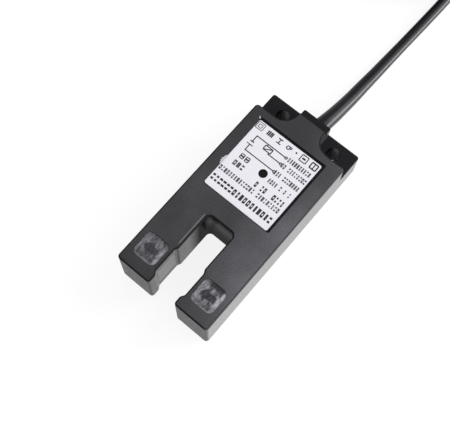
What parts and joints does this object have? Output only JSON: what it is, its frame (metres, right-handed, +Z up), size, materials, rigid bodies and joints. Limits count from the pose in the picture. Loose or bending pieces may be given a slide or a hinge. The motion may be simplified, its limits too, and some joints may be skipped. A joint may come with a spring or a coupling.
{
  "type": "u-slot photoelectric switch",
  "caption": "Two-prong photoelectric switch housing with facing slot windows, arrow marks, label, mounting flange and a pre-wired cable laid in a tied coil.",
  "frame": {"origin": "centre of the housing's footprint at its underside, without the cable", "axes": "+X across the prongs towards the emitter's prong, +Y from the prong tips to the cable, +Z up out of the labelled face"},
  "size_m": [0.0724, 0.1919, 0.0174],
  "materials": {
    "housing": "fine texture, near-black grey; smoother on the flange",
    "cover": "fine texture",
    "seal": "matt",
    "screw_steel": "zinc plated",
    "filter_window": "dark red infrared filter",
    "mark_plate": "frosted grey plate with a darker arrow",
    "label": "white film with black print",
    "lens": "clear, looks grey",
    "lamp_red": "tinted clear resin",
    "lamp_clear": "clear resin",
    "lamp_dark": "black infrared resin",
    "holder": "black",
    "board": "green solder mask",
    "chip": "black epoxy",
    "capacitor_sleeve": "printed sleeve",
    "ceramic": "fired ceramic",
    "resistor": "glazed black",
    "core_brown": "satin insulation",
    "core_black": "satin insulation",
    "core_blue": "satin insulation",
    "bushing": "satin",
    "sheath": "satin, near black",
    "tinned_wire": "tinned",
    "tie": "black band"
  },
  "bodies": {
    "root": {"housing": "housing", "bottom_cover": "cover", "cover_seal": "seal", "cover_screws": "screw_steel", "emitter_window": "filter_window", "receiver_window": "filter_window", "emitter_mark": "mark_plate", "receiver_mark": "mark_plate", "label": "label", "indicator_lens": "lens", "indicator_lamp": "lamp_red", "infrared_emitter": "lamp_clear", "photo_receiver": "lamp_dark", "emitter_holder": "holder", "receiver_holder": "holder", "circuit_board": "board", "board_screws": "screw_steel", "control_chip": "chip", "amplifier_chip": "chip", "driver_transistor": "chip", "voltage_regulator": "chip", "output_transistor": "chip", "smoothing_capacitor": "capacitor_sleeve", "ceramic_capacitors": "ceramic", "resistors": "resistor", "protection_diodes": "chip", "brown_lead": "core_brown", "black_lead": "core_black", "blue_lead": "core_blue", "cable_bushing": "bushing", "cable": "sheath", "cable_coil": "sheath", "cable_tail": "sheath", "brown_core": "core_brown", "black_core": "core_black", "blue_core": "core_blue", "tinned_ends": "tinned_wire", "coil_ties": "tie"}
  },
  "joints": []
}
